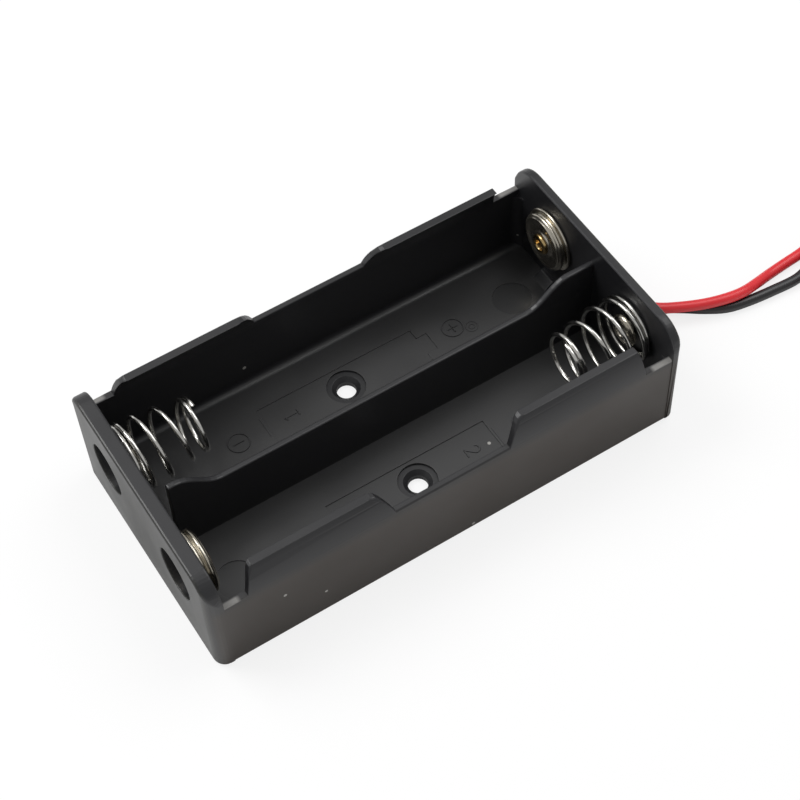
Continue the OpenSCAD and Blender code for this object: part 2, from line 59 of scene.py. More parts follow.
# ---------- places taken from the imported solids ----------
tray_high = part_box("holder_body")[1]
link_low, link_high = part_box("series_link")
tag_low, tag_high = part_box("positive_tag")
button_low, button_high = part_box("far_button")
spring_low, spring_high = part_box("near_spring")
coil_low, coil_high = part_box("black_lead_coil")
upper_low, upper_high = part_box("red_lead_coil")
END_X = tray_high.x
AXIS_Z = (tag_low.z + tag_high.z) / 2
BAY_Y = (tag_low.y + tag_high.y) / 2
LINK_FACE_X = link_low.x
LINK_SEAT_X = link_high.x
LEAD_FACE_X = button_high.x
FLOOR_T = 2.1 * MM
MARK_DEPTH = 0.15 * MM
LEAD_D = coil_high.z - coil_low.z
LOWER_Z = (coil_low.z + coil_high.z) / 2
UPPER_Z = (upper_low.z + upper_high.z) / 2
COIL_CENTRE = (coil_low + coil_high) / 2
COIL_OUTER_R = (coil_high.x - coil_low.x) / 2


# ---------- camera ----------
CAMERA_AZIMUTH = math.radians(-29.51)
CAMERA_ELEVATION = math.radians(55.01)
CAMERA_ROLL = math.radians(-3.28)
CAMERA_PLACE = (-0.07434, -0.13746, 0.23327)
CAMERA_LENS = 85.34
CAMERA_SENSOR = 36


def make_camera():
    """The camera, turned by its azimuth, its elevation and a slight roll."""
    level = math.cos(CAMERA_ELEVATION)
    back = Vector((math.sin(CAMERA_AZIMUTH) * level, -math.cos(CAMERA_AZIMUTH) * level,
                   math.sin(CAMERA_ELEVATION)))
    level_right = Vector((math.cos(CAMERA_AZIMUTH), math.sin(CAMERA_AZIMUTH), 0))
    level_up = back.cross(level_right)
    right = math.cos(CAMERA_ROLL) * level_right + math.sin(CAMERA_ROLL) * level_up
    up = math.cos(CAMERA_ROLL) * level_up - math.sin(CAMERA_ROLL) * level_right
    data = bpy.data.cameras.new("camera")
    data.sensor_width = CAMERA_SENSOR
    data.lens = CAMERA_LENS
    data.clip_start = 0.01
    data.clip_end = 10
    camera = bpy.data.objects.new("camera", data)
    scene.collection.objects.link(camera)
    turn = Matrix((right, up, back)).transposed().to_4x4()
    camera.matrix_world = Matrix.Translation(CAMERA_PLACE) @ turn
    scene.camera = camera


# ---------- shader helpers ----------
NOISE_LOW = 0.3
NOISE_HIGH = 0.7
MIX_SHARE = 0
MIX_FIRST = 6
MIX_SECOND = 7
MIX_COLOUR = 2


def set_inputs(tree, node, inputs):
    """Sets a node's inputs to values, or links them to sockets."""
    for key, value in inputs.items():
        if isinstance(value, bpy.types.NodeSocket):
            tree.links.new(value, node.inputs[key])
        else:
            node.inputs[key].default_value = value


def add_node(tree, kind, inputs=None, **settings):
    """A new node with its settings and its inputs."""
    made = tree.nodes.new(kind)
    for key, value in settings.items():
        setattr(made, key, value)
    set_inputs(tree, made, inputs or {})
    return made


def new_group(name, inputs, outputs):
    """An empty shader group with named number inputs, and its two end nodes."""
    group = bpy.data.node_groups.new(name, "ShaderNodeTree")
    for label, value in inputs.items():
        socket = group.interface.new_socket(label, in_out="INPUT", socket_type="NodeSocketFloat")
        socket.default_value = value
    for label, kind in outputs.items():
        group.interface.new_socket(label, in_out="OUTPUT", socket_type=kind)
    return group, group.nodes.new("NodeGroupInput"), group.nodes.new("NodeGroupOutput")


def math_node(tree, operation, a, b):
    return add_node(tree, "ShaderNodeMath", {0: a, 1: b}, operation=operation).outputs[0]


def absolute(tree, value):
    return add_node(tree, "ShaderNodeMath", {0: value}, operation="ABSOLUTE").outputs[0]


def product(tree, *masks):
    """All the masks multiplied together."""
    total = masks[0]
    for mask in masks[1:]:
        total = math_node(tree, "MULTIPLY", total, mask)
    return total


def range_node(tree, value, low, high, to_low=0.0, to_high=1.0):
    """A value brought from one range to another, and kept within it."""
    return add_node(tree, "ShaderNodeMapRange",
                    {"Value": value, "From Min": low, "From Max": high,
                     "To Min": to_low, "To Max": to_high}).outputs["Result"]


def varied(tree, value, low, high):
    """A noise value spread over a range."""
    return range_node(tree, value, NOISE_LOW, NOISE_HIGH, low, high)


def object_coords(tree):
    return tree.nodes.new("ShaderNodeTexCoord").outputs["Object"]


def object_place(tree):
    """The X, Y and Z of a point in the object's own space, in metres."""
    apart = add_node(tree, "ShaderNodeSeparateXYZ", {"Vector": object_coords(tree)})
    return [apart.outputs[axis] for axis in ("X", "Y", "Z")]


def noise_value(tree, coords, scale, detail, roughness):
    return add_node(tree, "ShaderNodeTexNoise",
                    {"Vector": coords, "Scale": scale, "Detail": detail,
                     "Roughness": roughness}).outputs["Fac"]


def mix_colour(tree, share, first, second):
    """A colour between two others, each of them a socket or three numbers."""
    made = add_node(tree, "ShaderNodeMix", data_type="RGBA")
    inputs = {MIX_SHARE: share}
    for key, colour in ((MIX_FIRST, first), (MIX_SECOND, second)):
        inputs[key] = (*colour, 1) if isinstance(colour, tuple) else colour
    set_inputs(tree, made, inputs)
    return made.outputs[MIX_COLOUR]


# ---------- shader groups ----------
SWELL_DEPTH = 0.3 * MM
GRAIN_DEPTH = 0.02 * MM
PIN_MARK_X = 30 * MM
PIN_MARK_R = 3.0 * MM
PIN_MARK_TOP_Z = 2.3 * MM


def make_grain_group():
    """Fine moulded grain with a slow swell under it, as a bump and as a value."""
    group, start, end = new_group(
        "moulded_grain", {"Grain Scale": 2600.0, "Swell Scale": 90.0, "Grain": 0.2, "Swell": 0.2},
        {"Normal": "NodeSocketVector", "Value": "NodeSocketFloat"})
    coords = object_coords(group)
    grain = noise_value(group, coords, start.outputs["Grain Scale"], 3.0, 0.6)
    swell = noise_value(group, coords, start.outputs["Swell Scale"], 2.0, 0.5)
    slow = add_node(group, "ShaderNodeBump", {"Height": swell, "Distance": SWELL_DEPTH,
                                              "Strength": start.outputs["Swell"]})
    fine = add_node(group, "ShaderNodeBump", {"Height": grain, "Distance": GRAIN_DEPTH,
                                              "Strength": start.outputs["Grain"],
                                              "Normal": slow.outputs[0]})
    group.links.new(fine.outputs[0], end.inputs["Normal"])
    group.links.new(swell, end.inputs["Value"])
    return group


def make_dust_group():
    """Sparse pale specks of dust, as a mask."""
    group, start, end = new_group("dust_specks", {"Scale": 420.0, "Share": 0.05, "Size": 0.16},
                                  {"Mask": "NodeSocketFloat"})
    coords = object_coords(group)
    cells = add_node(group, "ShaderNodeTexVoronoi",
                     {"Vector": coords, "Scale": start.outputs["Scale"]}, feature="F1")
    draw = add_node(group, "ShaderNodeSeparateColor",
                    {"Color": cells.outputs["Color"]}).outputs["Red"]
    chosen = math_node(group, "LESS_THAN", draw, start.outputs["Share"])
    small = math_node(group, "LESS_THAN", cells.outputs["Distance"], start.outputs["Size"])
    group.links.new(product(group, chosen, small), end.inputs["Mask"])
    return group


def make_streak_group():
    """Fine drawn streaks along one axis of the object, as a mask from 0 to 1."""
    group, start, end = new_group(
        "drawn_streaks", {"Scale": 900.0, "Along X": 1.0, "Along Y": 1.0, "Along Z": 1.0},
        {"Value": "NodeSocketFloat"})
    coords = object_coords(group)
    stretch = add_node(group, "ShaderNodeCombineXYZ",
                       {"X": start.outputs["Along X"], "Y": start.outputs["Along Y"],
                        "Z": start.outputs["Along Z"]})
    stretched = add_node(group, "ShaderNodeVectorMath",
                         {0: coords, 1: stretch.outputs[0]}, operation="MULTIPLY")
    value = noise_value(group, stretched.outputs[0], start.outputs["Scale"], 3.0, 0.65)
    group.links.new(varied(group, value, 0.0, 1.0), end.inputs["Value"])
    return group


def make_pin_mark_group():
    """Round spots that ejector pins leave on the floor at opposite corners, as a mask."""
    group, start, end = new_group("pin_marks", {"Radius": PIN_MARK_R, "Strength": 0.6},
                                  {"Mask": "NodeSocketFloat"})
    x, y, z = object_place(group)
    spots = 0.0
    for sign in (-1, 1):
        across = math_node(group, "SUBTRACT", x, sign * PIN_MARK_X)
        aside = math_node(group, "SUBTRACT", y, sign * BAY_Y)
        away = add_node(group, "ShaderNodeCombineXYZ", {"X": across, "Y": aside})
        length = add_node(group, "ShaderNodeVectorMath", {0: away.outputs[0]},
                          operation="LENGTH").outputs["Value"]
        inside = math_node(group, "LESS_THAN", length, start.outputs["Radius"])
        spots = math_node(group, "ADD", spots, inside)
    on_floor = math_node(group, "LESS_THAN", z, PIN_MARK_TOP_Z)
    group.links.new(product(group, spots, on_floor, start.outputs["Strength"]),
                    end.inputs["Mask"])
    return group


GRAIN = make_grain_group()
PIN_MARKS = make_pin_mark_group()
DUST = make_dust_group()
STREAKS = make_streak_group()


def use_group(tree, group, **inputs):
    """A shader group in a material, with its inputs set by their names."""
    made = tree.nodes.new("ShaderNodeGroup")
    made.node_tree = group
    for label, value in inputs.items():
        made.inputs[label.replace("_", " ")].default_value = value
    return made


def new_material(name):
    material = bpy.data.materials.new(name)
    material.use_nodes = True
    tree = material.node_tree
    return material, tree, tree.nodes["Principled BSDF"]


# ---------- materials ----------
# Each pair says where an area of the tray starts and where it is full.
LOW_WALL_Z = (15.2 * MM, 13.0 * MM)
LONG_WALL_Y = (19.2 * MM, 19.85 * MM)
END_WALL_X = (END_X - 0.6 * MM, END_X - 0.2 * MM)
FLOOR_TOP_Z = (2.5 * MM, 2.2 * MM)
FLOOR_FOOT_Z = (1.7 * MM, 1.8 * MM)
# The next five pairs place a painted highlight along the outer top edges of the low walls near the
# end walls.
EDGE_HIGHLIGHT_X = (33.4 * MM, 34.0 * MM)
EDGE_HIGHLIGHT_Y = (18.9 * MM, 19.2 * MM)
EDGE_HIGHLIGHT_Z = (14.3 * MM, 14.5 * MM)
EDGE_HIGHLIGHT_LEAD_X = (LEAD_FACE_X, LEAD_FACE_X - 0.1 * MM)
EDGE_HIGHLIGHT_LINK_X = (LINK_FACE_X, LINK_FACE_X + 0.1 * MM)


def black_plastic():
    """Satin black moulding with drag marks on the ends; painted lighter, warmer light on the lower
    long outer walls, a painted sheen on the floor and a painted highlight on the low wall tops
    near the ends.
    """
    material, tree, shader = new_material("black_plastic")
    grain = use_group(tree, GRAIN, Grain_Scale=3200.0, Swell_Scale=70.0, Grain=0.22, Swell=0.12)
    dust = use_group(tree, DUST, Scale=330.0, Share=0.035, Size=0.1)
    drag = use_group(tree, STREAKS, Scale=800.0, Along_X=1.0, Along_Y=1.0, Along_Z=0.08)
    pins = use_group(tree, PIN_MARKS)
    swell = grain.outputs["Value"]
    x, y, z = object_place(tree)
    along = absolute(tree, x)
    outward = absolute(tree, y)
    on_floor = product(tree, range_node(tree, z, *FLOOR_TOP_Z), range_node(tree, z, *FLOOR_FOOT_Z))
    on_long_wall = product(tree, range_node(tree, z, *LOW_WALL_Z),
                           range_node(tree, outward, *LONG_WALL_Y))
    on_end_wall = range_node(tree, along, *END_WALL_X)
    # Painted highlight: a pale strip on the outer top edges of the low walls near the end walls.
    painted_edge_highlight = product(tree, range_node(tree, along, *EDGE_HIGHLIGHT_X), range_node(tree, outward, *EDGE_HIGHLIGHT_Y),
                      range_node(tree, z, *EDGE_HIGHLIGHT_Z), range_node(tree, x, *EDGE_HIGHLIGHT_LEAD_X),
                      range_node(tree, x, *EDGE_HIGHLIGHT_LINK_X), swell)
    cool = mix_colour(tree, swell, (0.0115, 0.0115, 0.0135), (0.016, 0.016, 0.017))
    # Painted light: the lower outer long walls are painted lighter and warmer, with a random
    # blotchy tone.
    warm = mix_colour(tree, swell, (0.024, 0.0175, 0.0125), (0.030, 0.0225, 0.017))
    # Painted sheen: the floor is painted lighter, as if lit from above.
    floor_painted_sheen = mix_colour(tree, swell, (0.026, 0.026, 0.0265), (0.034, 0.034, 0.0345))
    dragged = mix_colour(tree, drag.outputs["Value"], (0.009, 0.0093, 0.0085),
                         (0.024, 0.024, 0.0215))
    pressed = (0.010, 0.010, 0.011)
    # Pale colour of the painted edge highlight.
    edge_highlight_colour = (0.42, 0.41, 0.39)
    dusty = (0.35, 0.34, 0.32)
    body = mix_colour(tree, on_floor, cool, floor_painted_sheen)
    body = mix_colour(tree, on_long_wall, body, warm)
    body = mix_colour(tree, on_end_wall, body, dragged)
    body = mix_colour(tree, pins.outputs["Mask"], body, pressed)
    body = mix_colour(tree, painted_edge_highlight, body, edge_highlight_colour)
    body = mix_colour(tree, dust.outputs["Mask"], body, dusty)
    set_inputs(tree, shader, {"Base Color": body, "Roughness": varied(tree, swell, 0.34, 0.46),
                              "Normal": grain.outputs["Normal"], "IOR": 1.49})
    return material


def nickel_wire():
    """Bright plated spring wire with faint drawing lines."""
    material, tree, shader = new_material("nickel_wire")
    streaks = use_group(tree, STREAKS, Scale=2200.0, Along_X=1.0, Along_Y=0.4, Along_Z=0.4)
    drawn = streaks.outputs["Value"]
    colour = mix_colour(tree, drawn, (0.52, 0.51, 0.48), (0.72, 0.71, 0.68))
    roughness = range_node(tree, drawn, 0.0, 1.0, 0.16, 0.24)
    set_inputs(tree, shader, {"Base Color": colour, "Roughness": roughness, "Metallic": 1.0})
    return material


def nickel_sheet():
    """Plated pressed sheet, a little warm, with blotches left by handling."""
    material, tree, shader = new_material("nickel_sheet")
    grain = use_group(tree, GRAIN, Grain_Scale=1400.0, Swell_Scale=160.0, Grain=0.0, Swell=0.03)
    swell = grain.outputs["Value"]
    colour = mix_colour(tree, swell, (0.46, 0.42, 0.34), (0.66, 0.63, 0.56))
    set_inputs(tree, shader, {"Base Color": colour, "Roughness": varied(tree, swell, 0.22, 0.30),
                              "Normal": grain.outputs["Normal"], "Metallic": 1.0})
    return material


def eyelet_brass():
    """Bright brass whose tone varies at random with a slow swell."""
    material, tree, shader = new_material("eyelet_brass")
    grain = use_group(tree, GRAIN, Grain_Scale=2600.0, Swell_Scale=500.0, Grain=0.12, Swell=0.1)
    colour = mix_colour(tree, grain.outputs["Value"], (0.38, 0.25, 0.10), (0.66, 0.49, 0.24))
    set_inputs(tree, shader, {"Base Color": colour, "Roughness": 0.24,
                              "Normal": grain.outputs["Normal"], "Metallic": 1.0})
    return material


def tin_solder():
    """Frozen solder and tinned strands, bright and slightly lumpy."""
    material, tree, shader = new_material("tin_solder")
    grain = use_group(tree, GRAIN, Grain_Scale=1800.0, Swell_Scale=700.0, Grain=0.15, Swell=0.35)
    swell = grain.outputs["Value"]
    colour = mix_colour(tree, swell, (0.48, 0.48, 0.49), (0.74, 0.74, 0.74))
    set_inputs(tree, shader, {"Base Color": colour, "Roughness": varied(tree, swell, 0.18, 0.38),
                              "Normal": grain.outputs["Normal"], "Metallic": 1.0})
    return material


def lead_insulation(name, dark, light):
    """Glossy soft insulation with slight unevenness from the extruder."""
    material, tree, shader = new_material(name)
    grain = use_group(tree, GRAIN, Grain_Scale=1500.0, Swell_Scale=240.0, Grain=0.08, Swell=0.12)
    swell = grain.outputs["Value"]
    colour = mix_colour(tree, swell, dark, light)
    set_inputs(tree, shader, {"Base Color": colour, "Roughness": varied(tree, swell, 0.3, 0.4),
                              "Normal": grain.outputs["Normal"], "IOR": 1.52})
    return material


def tie_nylon():
    """White nylon that lets a little light in, with a trace of grain."""
    material, tree, shader = new_material("tie_nylon")
    grain = use_group(tree, GRAIN, Grain_Scale=1400.0, Swell_Scale=300.0, Grain=0.12, Swell=0.1)
    colour = mix_colour(tree, grain.outputs["Value"], (0.72, 0.72, 0.68), (0.84, 0.84, 0.80))
    set_inputs(tree, shader, {"Base Color": colour, "Roughness": 0.42,
                              "Normal": grain.outputs["Normal"], "Subsurface Weight": 0.15,
                              "Subsurface Scale": 0.5 * MM})
    return material


PLASTIC = black_plastic()
WIRE = nickel_wire()
SHEET = nickel_sheet()
BRASS = eyelet_brass()
SOLDER = tin_solder()
RED = lead_insulation("red_insulation_gloss", (0.56, 0.012, 0.018), (0.72, 0.02, 0.028))
BLACK = lead_insulation("black_insulation_gloss", (0.008, 0.008, 0.009), (0.014, 0.014, 0.015))
NYLON = tie_nylon()


# ---------- mesh helpers ----------
WELD_GAP = 0.002 * MM
END_TAPER = 0.75


def finish_piece(obj, material, replaced=()):
    """Gives a piece its material, hangs it on the tray's body and hides the solids it stands for.
    """
    obj.data.materials.clear()
    obj.data.materials.append(material)
    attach(obj, "tray")
    if replaced:
        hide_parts(*replaced)
    return obj


def to_object(name, mesh, sharp_angle=40, smooth=True):
    """Turns a bmesh into an object that is flat, or smooth but for its sharp edges."""
    bmesh.ops.recalc_face_normals(mesh, faces=mesh.faces)
    for face in mesh.faces:
        face.smooth = smooth
    for edge in mesh.edges:
        if len(edge.link_faces) == 2:
            edge.smooth = edge.calc_face_angle() < math.radians(sharp_angle)
    data = bpy.data.meshes.new(name)
    mesh.to_mesh(data)
    mesh.free()
    if data.has_custom_normals:
        data.attributes.remove(data.attributes["custom_normal"])
    obj = bpy.data.objects.new(name, data)
    scene.collection.objects.link(obj)
    return obj


def axis_matrix(x, y, towards):
    """Local +Z points along the tray, towards +X or -X, from a bay's contact axis."""
    turn = Matrix(((0, 0, towards), (0, -towards, 0), (1, 0, 0))).to_4x4()
    return Matrix.Translation((x, y, AXIS_Z)) @ turn


def ring_angles(sides):
    return [2 * math.pi * k / sides for k in range(sides)]


def join_rings(mesh, ring, after):
    """A band of faces between two rings of as many corners."""
    for k in range(len(ring)):
        m = (k + 1) % len(ring)
        mesh.faces.new((ring[k], ring[m], after[m], after[k]))


def add_lathe(mesh, profile, place, sides):
    """Revolves a closed profile of (radius, height) in millimetres."""
    rings = []
    for r, h in profile:
        rings.append([mesh.verts.new(place @ (Vector((r * math.cos(a), r * math.sin(a), h)) * MM))
                      for a in ring_angles(sides)])
    for ring, after in zip(rings, rings[1:] + rings[:1]):
        join_rings(mesh, ring, after)


def add_tube(mesh, points, radius, sides):
    """A round wire along close points, with slightly narrowed ends."""
    ahead = (points[1] - points[0]).normalized()
    side = ahead.orthogonal().normalized()
    rings = []
    last = len(points) - 1
    for i, p in enumerate(points):
        along = (points[min(i + 1, last)] - points[max(i - 1, 0)]).normalized()
        side = (side - along * side.dot(along)).normalized()
        up = along.cross(side)
        r = radius * (END_TAPER if i in (0, last) else 1)
        rings.append([mesh.verts.new(p + r * (math.cos(a) * side + math.sin(a) * up))
                      for a in ring_angles(sides)])
    for ring, after in zip(rings, rings[1:]):
        join_rings(mesh, ring, after)
    mesh.faces.new(reversed(rings[0]))
    mesh.faces.new(rings[-1])


def arc_points(centre, r, start, end, count):
    """Points round a centre, in degrees."""
    angles = [math.radians(start + (end - start) * k / count) for k in range(count + 1)]
    return [(centre[0] + r * math.cos(a), centre[1] + r * math.sin(a)) for a in angles]


# ---------- tray ----------
RIM_EDGE = 0.4 * MM
INNER_RIM_EDGE = 0.3 * MM
WALL_TOP_EDGE = 0.3 * MM
POCKET_EDGE = 0.15 * MM
MARK_EDGE = 0.04 * MM
PLAIN_EDGE = 0.12 * MM
POCKET_R = 4 * MM
MARK_REACH = 4.2 * MM
FILLET_TOP_Z = 13.3 * MM
LOW_TOP_Z = 14.6 * MM
GUIDE_Z = 12 * MM
FOOT_Z = 0.6 * MM
WALL_FACE_Y = 19.85 * MM
FILLET_Y = 15 * MM
LOW_TOP_X = 32 * MM
CLOSE_BY = 0.05 * MM
LEVEL_WITH = 0.1 * MM
BEYOND = 0.2 * MM
SOFT_ANGLE = math.radians(20)
FULL_ANGLE = math.radians(50)
FLAT_ANGLE = math.radians(0.08)
SHARED_ROOM = 0.45
FREE_ROOM = 0.8
OPPOSITE = -0.3


def edge_rounding(edge):
    """How much a sharp edge of the moulding is rounded, by where it lies."""
    if edge.calc_face_angle_signed() < 0:
        return 0
    middle = (edge.verts[0].co + edge.verts[1].co) / 2
    normals = [face.normal for face in edge.link_faces]
    at_inner_rim = (abs(middle.x - LINK_FACE_X) < CLOSE_BY
                    or abs(middle.x - LEAD_FACE_X) < CLOSE_BY)
    if at_inner_rim and (middle.z < FOOT_Z or abs(middle.y) > WALL_FACE_Y):
        return 0
    if abs(middle.z - FILLET_TOP_Z) < LEVEL_WITH and abs(middle.y) > FILLET_Y:
        return 0
    if abs(middle.z - LOW_TOP_Z) < LEVEL_WITH and abs(middle.x) > LOW_TOP_X:
        return PLAIN_EDGE
    off_axis = math.hypot(abs(middle.y) - BAY_Y, middle.z - AXIS_Z)
    in_pocket = off_axis < POCKET_R + LEVEL_WITH
    if middle.z < FLOOR_T + 0.02 * MM and abs(middle.x) < LEAD_FACE_X - 1 * MM:
        in_mark = middle.z > LEVEL_WITH and abs(abs(middle.y) - BAY_Y) < MARK_REACH
        return MARK_EDGE if in_mark else PLAIN_EDGE
    if middle.x < LINK_FACE_X - BEYOND or middle.x > LEAD_FACE_X + BEYOND:
        return POCKET_EDGE if in_pocket else RIM_EDGE
    if in_pocket:
        return PLAIN_EDGE
    if middle.x < LINK_FACE_X + CLOSE_BY or middle.x > LEAD_FACE_X - CLOSE_BY:
        outer = max(abs(n.y) for n in normals) > 0.3 or max(n.z for n in normals) > 0.3
        return INNER_RIM_EDGE if outer else PLAIN_EDGE
    if max(n.z for n in normals) > 0.5 and middle.z > GUIDE_Z:
        return WALL_TOP_EDGE
    return PLAIN_EDGE


def edge_gap(edge, other, start, end, a, b):
    """How far an edge from start to end lies from another edge of its face, from a to b."""
    if set(other.verts) & set(edge.verts):
        far = a if b in (start, end) else b
        on_line = intersect_point_line(far, start, end)[0]
        return (far - on_line).length
    middle = (start + end) / 2
    near, share = intersect_point_line(middle, a, b)
    if share < 0:
        near = a
    elif share > 1:
        near = b
    return (middle - near).length


def fit_rounding(mesh, rounding):
    """Keeps each edge's rounding within the width of the faces beside it."""
    for face in mesh.faces:
        loops = list(face.loops)
        for loop in loops:
            if loop.edge not in rounding:
                continue
            start = loop.vert.co
            end = loop.link_loop_next.vert.co
            along = (end - start).normalized()
            for other in loops:
                a = other.vert.co
                b = other.link_loop_next.vert.co
                if other is loop or (b - a).normalized().dot(along) > OPPOSITE:
                    continue
                gap = edge_gap(loop.edge, other.edge, start, end, a, b)
                room = SHARED_ROOM if other.edge in rounding else FREE_ROOM
                rounding[loop.edge] = min(rounding[loop.edge], room * gap)


def tray_shell():
    """The moulded tray with its edges rounded, each by its own amount."""
    mesh = bmesh.new()
    mesh.from_mesh(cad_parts["holder_body"].data)
    bmesh.ops.remove_doubles(mesh, verts=mesh.verts, dist=WELD_GAP)
    bmesh.ops.dissolve_limit(mesh, angle_limit=FLAT_ANGLE, verts=mesh.verts, edges=mesh.edges)
    weight = mesh.edges.layers.float.new("bevel_weight_edge")
    rounding = {}
    for edge in mesh.edges:
        if len(edge.link_faces) == 2 and edge.calc_face_angle() > SOFT_ANGLE:
            full = min(1.0, (edge.calc_face_angle() - SOFT_ANGLE) / (FULL_ANGLE - SOFT_ANGLE))
            width = full * edge_rounding(edge)
            if width > 0:
                rounding[edge] = width
    fit_rounding(mesh, rounding)
    for edge, width in rounding.items():
        edge[weight] = width / RIM_EDGE
    shell = to_object("tray_shell", mesh, smooth=False)
    bevel = shell.modifiers.new("rounding", "BEVEL")
    bevel.limit_method = "WEIGHT"
    bevel.width = RIM_EDGE
    bevel.segments = 3
    bevel.use_clamp_overlap = False
    return finish_piece(shell, PLASTIC, replaced=["holder_body"])


# ---------- marks on the floor ----------
STROKE_SHARES = (-0.5, -0.3, 0.3, 0.5)
MARK_FLOOR = FLOOR_T / MM - 0.02
MARK_SUNK_FLOOR = (FLOOR_T - MARK_DEPTH) / MM - 0.02
MINUS_PLACE = (-18.5, 9.9)
PLUS_PLACE = (19.2, 10.3)
GATE_PLACE = (21.8, 8.9)
DIGIT_PLACE = (-9.5, 10)
RING_R = 1.65
RING_W = 0.26
BAR_REACH = 0.85
BAR_W = 0.3
SIGN_H = 0.16
GATE_RADII = (0.95, 0.45)
GATE_W = 0.16
GATE_H = 0.1
DIGIT_W = 0.3
DIGIT_H = 0.13
LINE_W = 0.2
LINE_H = 0.08
DIGIT_ONE = [[(-0.5, 0.75), (0, 1.15)], [(0, 1.15), (0, -1.15)], [(-0.55, -1.15), (0.55, -1.15)]]
DIGIT_TWO = [arc_points((0, 0.5), 0.62, 170, -35, 9) + [(-0.66, -1.1)],
             [(-0.66, -1.1), (0.72, -1.1)]]
CROSS_LINE = [(-13.9, 8.3), (-13.9, 11.9)]


def add_stroke(mesh, points, width, z, height, closed=False):
    """A raised line along points in millimetres, with sloping sides."""
    count = len(points)
    places = [Vector(p) for p in points]
    sections = []
    for i, p in enumerate(places):
        before = places[(i - 1) % count] if closed else places[max(i - 1, 0)]
        after = places[(i + 1) % count] if closed else places[min(i + 1, count - 1)]
        along = (after - before).normalized()
        across = Vector((-along.y, along.x))
        section = []
        for share, level in zip(STROKE_SHARES, (0, height, height, 0)):
            q = p + across * width * share
            section.append(mesh.verts.new(Vector((q.x, q.y, z + level)) * MM))
        sections.append(section)
    pairs = list(zip(sections, sections[1:]))
    if closed:
        pairs.append((sections[-1], sections[0]))
    for section, following in pairs:
        join_rings(mesh, section, following)
    if not closed:
        mesh.faces.new(reversed(sections[0]))
        mesh.faces.new(sections[-1])


def turned(points, centre, half_turn):
    """Places points round a centre in the far bay, or half a turn on, in the near bay."""
    sign = -1 if half_turn else 1
    return [(sign * (x + centre[0]), sign * (y + centre[1])) for x, y in points]


def polarity_sign(mesh, centre, bars, half_turn):
    """A raised ring with one bar for minus or two for plus."""
    ring = turned(arc_points((0, 0), RING_R, 0, 345, 23), centre, half_turn)
    add_stroke(mesh, ring, RING_W, MARK_FLOOR, SIGN_H, closed=True)
    for bar in bars:
        add_stroke(mesh, turned(bar, centre, half_turn), BAR_W, MARK_FLOOR, SIGN_H)


def gate_rings(mesh, half_turn):
    """Two small rings where the plastic ran in."""
    for r in GATE_RADII:
        ring = turned(arc_points((0, 0), r, 0, 330, 11), GATE_PLACE, half_turn)
        add_stroke(mesh, ring, GATE_W, MARK_FLOOR, GATE_H, closed=True)


def bay_number(mesh, strokes, half_turn):
    """A plain digit, read from the end of the tray."""
    for stroke in strokes:
        quarter_turned = [(-y, x) for x, y in stroke]
        line = turned(quarter_turned, DIGIT_PLACE, half_turn)
        add_stroke(mesh, line, DIGIT_W, MARK_SUNK_FLOOR, DIGIT_H)


def floor_marks():
    """Raised polarity signs in rings, gate rings and plain bay numbers on the floor."""
    mesh = bmesh.new()
    level_bar = [(-BAR_REACH, 0), (BAR_REACH, 0)]
    upright_bar = [(0, -BAR_REACH), (0, BAR_REACH)]
    for half_turn, digit in ((False, DIGIT_ONE), (True, DIGIT_TWO)):
        polarity_sign(mesh, MINUS_PLACE, [level_bar], half_turn)
        polarity_sign(mesh, PLUS_PLACE, [level_bar, upright_bar], half_turn)
        gate_rings(mesh, half_turn)
        bay_number(mesh, digit, half_turn)
        add_stroke(mesh, turned(CROSS_LINE, (0, 0), half_turn), LINE_W, MARK_FLOOR, LINE_H)
    marks = to_object("floor_marks", mesh, sharp_angle=20)
    return finish_piece(marks, PLASTIC)


# ---------- springs ----------
WIRE_D = 0.7
TAIL_TURNS = 0.8
BASE_TURNS = 1.0
OPEN_TURNS = 2.9
TIP_TURNS = 1.2
CONE_TURNS = 1.6
WIDENING = 0.35
ALL_TURNS = TAIL_TURNS + BASE_TURNS + OPEN_TURNS + TIP_TURNS
FIT_GAP = 0.05
CLOSED_PITCH = WIRE_D + FIT_GAP
SPRING_L = 12.0
BASE_R = (spring_high.y - spring_low.y) / MM / 2 - WIRE_D / 2
TIP_R = 4.1
TAIL_R = 1.7
OPEN_RISE = SPRING_L - WIRE_D - FIT_GAP - CLOSED_PITCH * (BASE_TURNS + TIP_TURNS)
RINGS_PER_TURN = 44
WIRE_SIDES = 16


def within_one(share):
    return min(1.0, max(0.0, share))


def eased(share):
    """A share that starts and ends slowly."""
    share = within_one(share)
    return share * share * (3 - 2 * share)


def open_share(turn):
    """How far along its open turns the wire is, from 0 at the wall to 1 at the cell."""
    return within_one((turn - TAIL_TURNS - BASE_TURNS) / OPEN_TURNS)


def wire_place(turn):
    """Middle of the wire after some turns, in the spring's own millimetres."""
    share = open_share(turn)
    base = within_one((turn - TAIL_TURNS) / BASE_TURNS)
    tip = within_one((turn - ALL_TURNS + TIP_TURNS) / TIP_TURNS)
    z = WIRE_D / 2 + FIT_GAP + CLOSED_PITCH * (BASE_TURNS * base + TIP_TURNS * tip)
    z += OPEN_RISE * (share - WIDENING * share * (1 - share))
    if turn < TAIL_TURNS:
        r = TAIL_R + (BASE_R - TAIL_R) * eased(turn / TAIL_TURNS)
    else:
        coned = eased((turn - ALL_TURNS + TIP_TURNS + CONE_TURNS) / CONE_TURNS)
        r = BASE_R + (TIP_R - BASE_R) * coned
    angle = 2 * math.pi * (turn - ALL_TURNS)
    return Vector((r * math.cos(angle), r * math.sin(angle), z))


